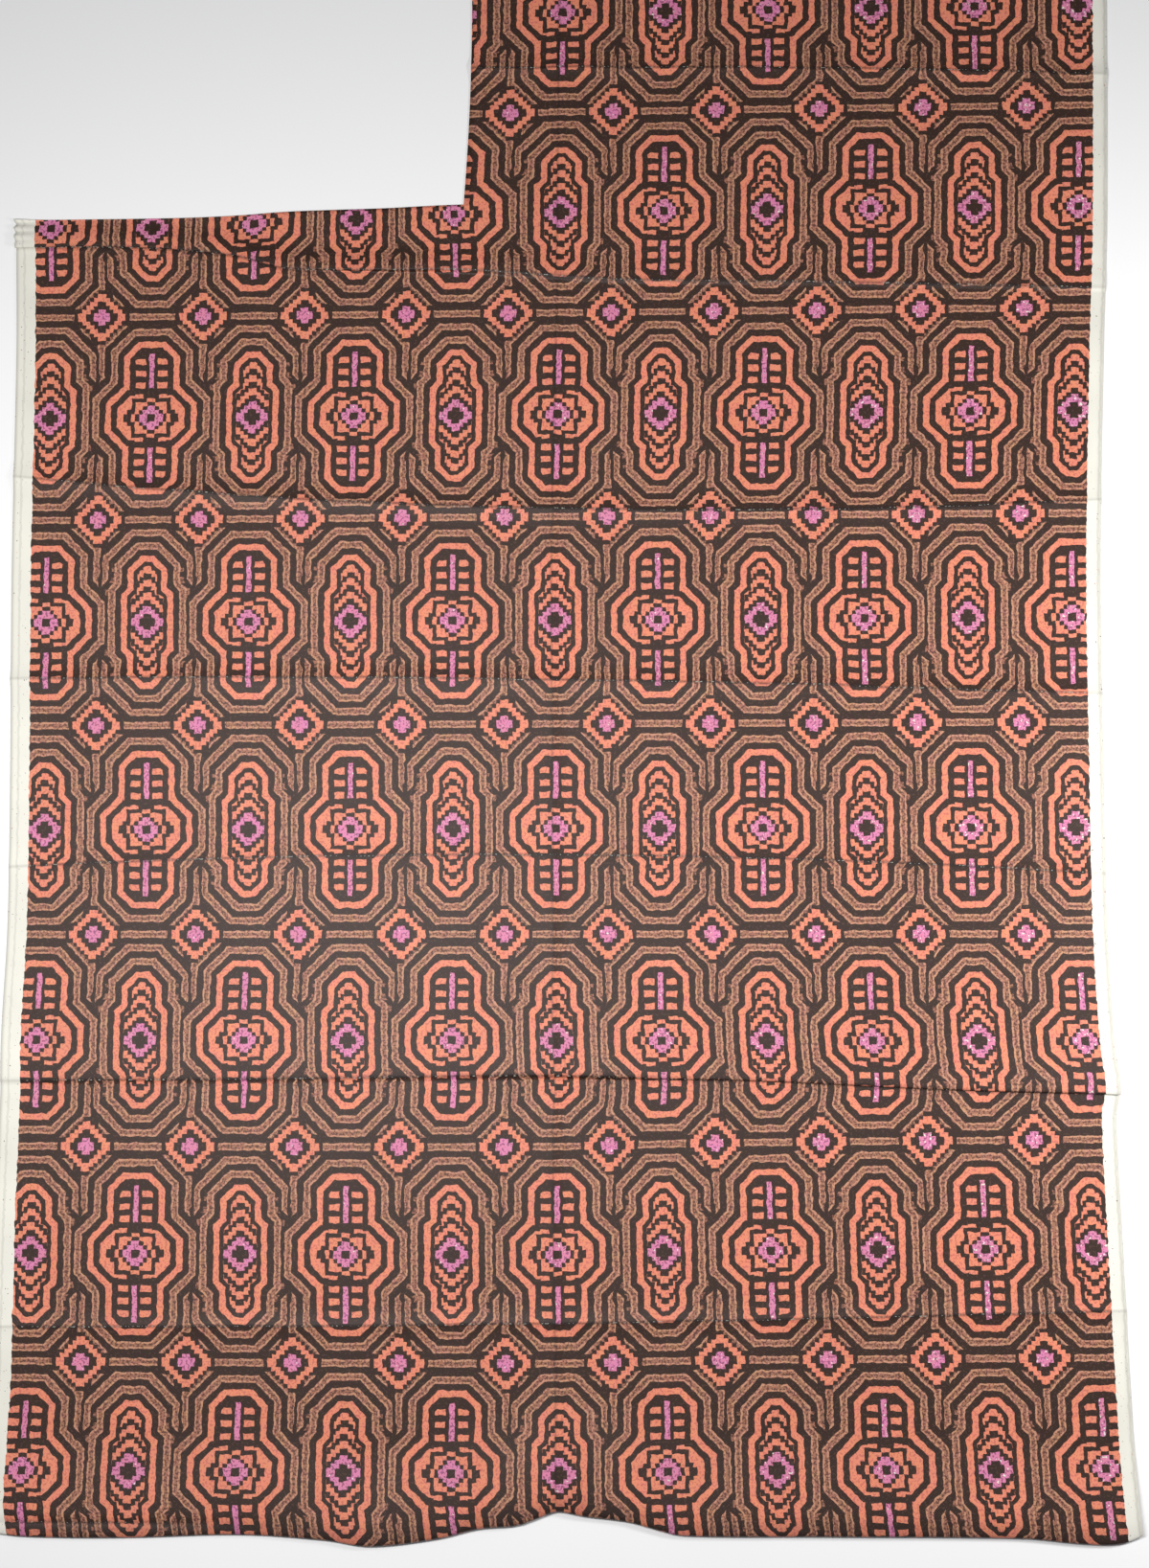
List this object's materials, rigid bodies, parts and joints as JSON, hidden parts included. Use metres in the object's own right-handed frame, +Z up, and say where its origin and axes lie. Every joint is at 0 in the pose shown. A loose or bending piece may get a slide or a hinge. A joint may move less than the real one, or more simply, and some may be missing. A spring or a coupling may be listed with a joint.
{
  "type": "woven cloth",
  "caption": "Length of printed plain-weave cotton laid out flat, with two plain selvedges, storage creases, two small tucks, a turned-under lower edge and one corner cut away.",
  "frame": {"origin": "middle of the cloth's outline, at the surface that it lies on", "axes": "+X across the cloth from selvedge to selvedge, +Y up its length towards the straight cut end, +Z up from the surface"},
  "size_m": [1.2139, 1.7736, 0.0113],
  "materials": {
    "cloth": "matt printed cotton in black, brown, orange and pink, with cream selvedges"
  },
  "bodies": {
    "root": {"cloth": "cloth"}
  },
  "joints": []
}
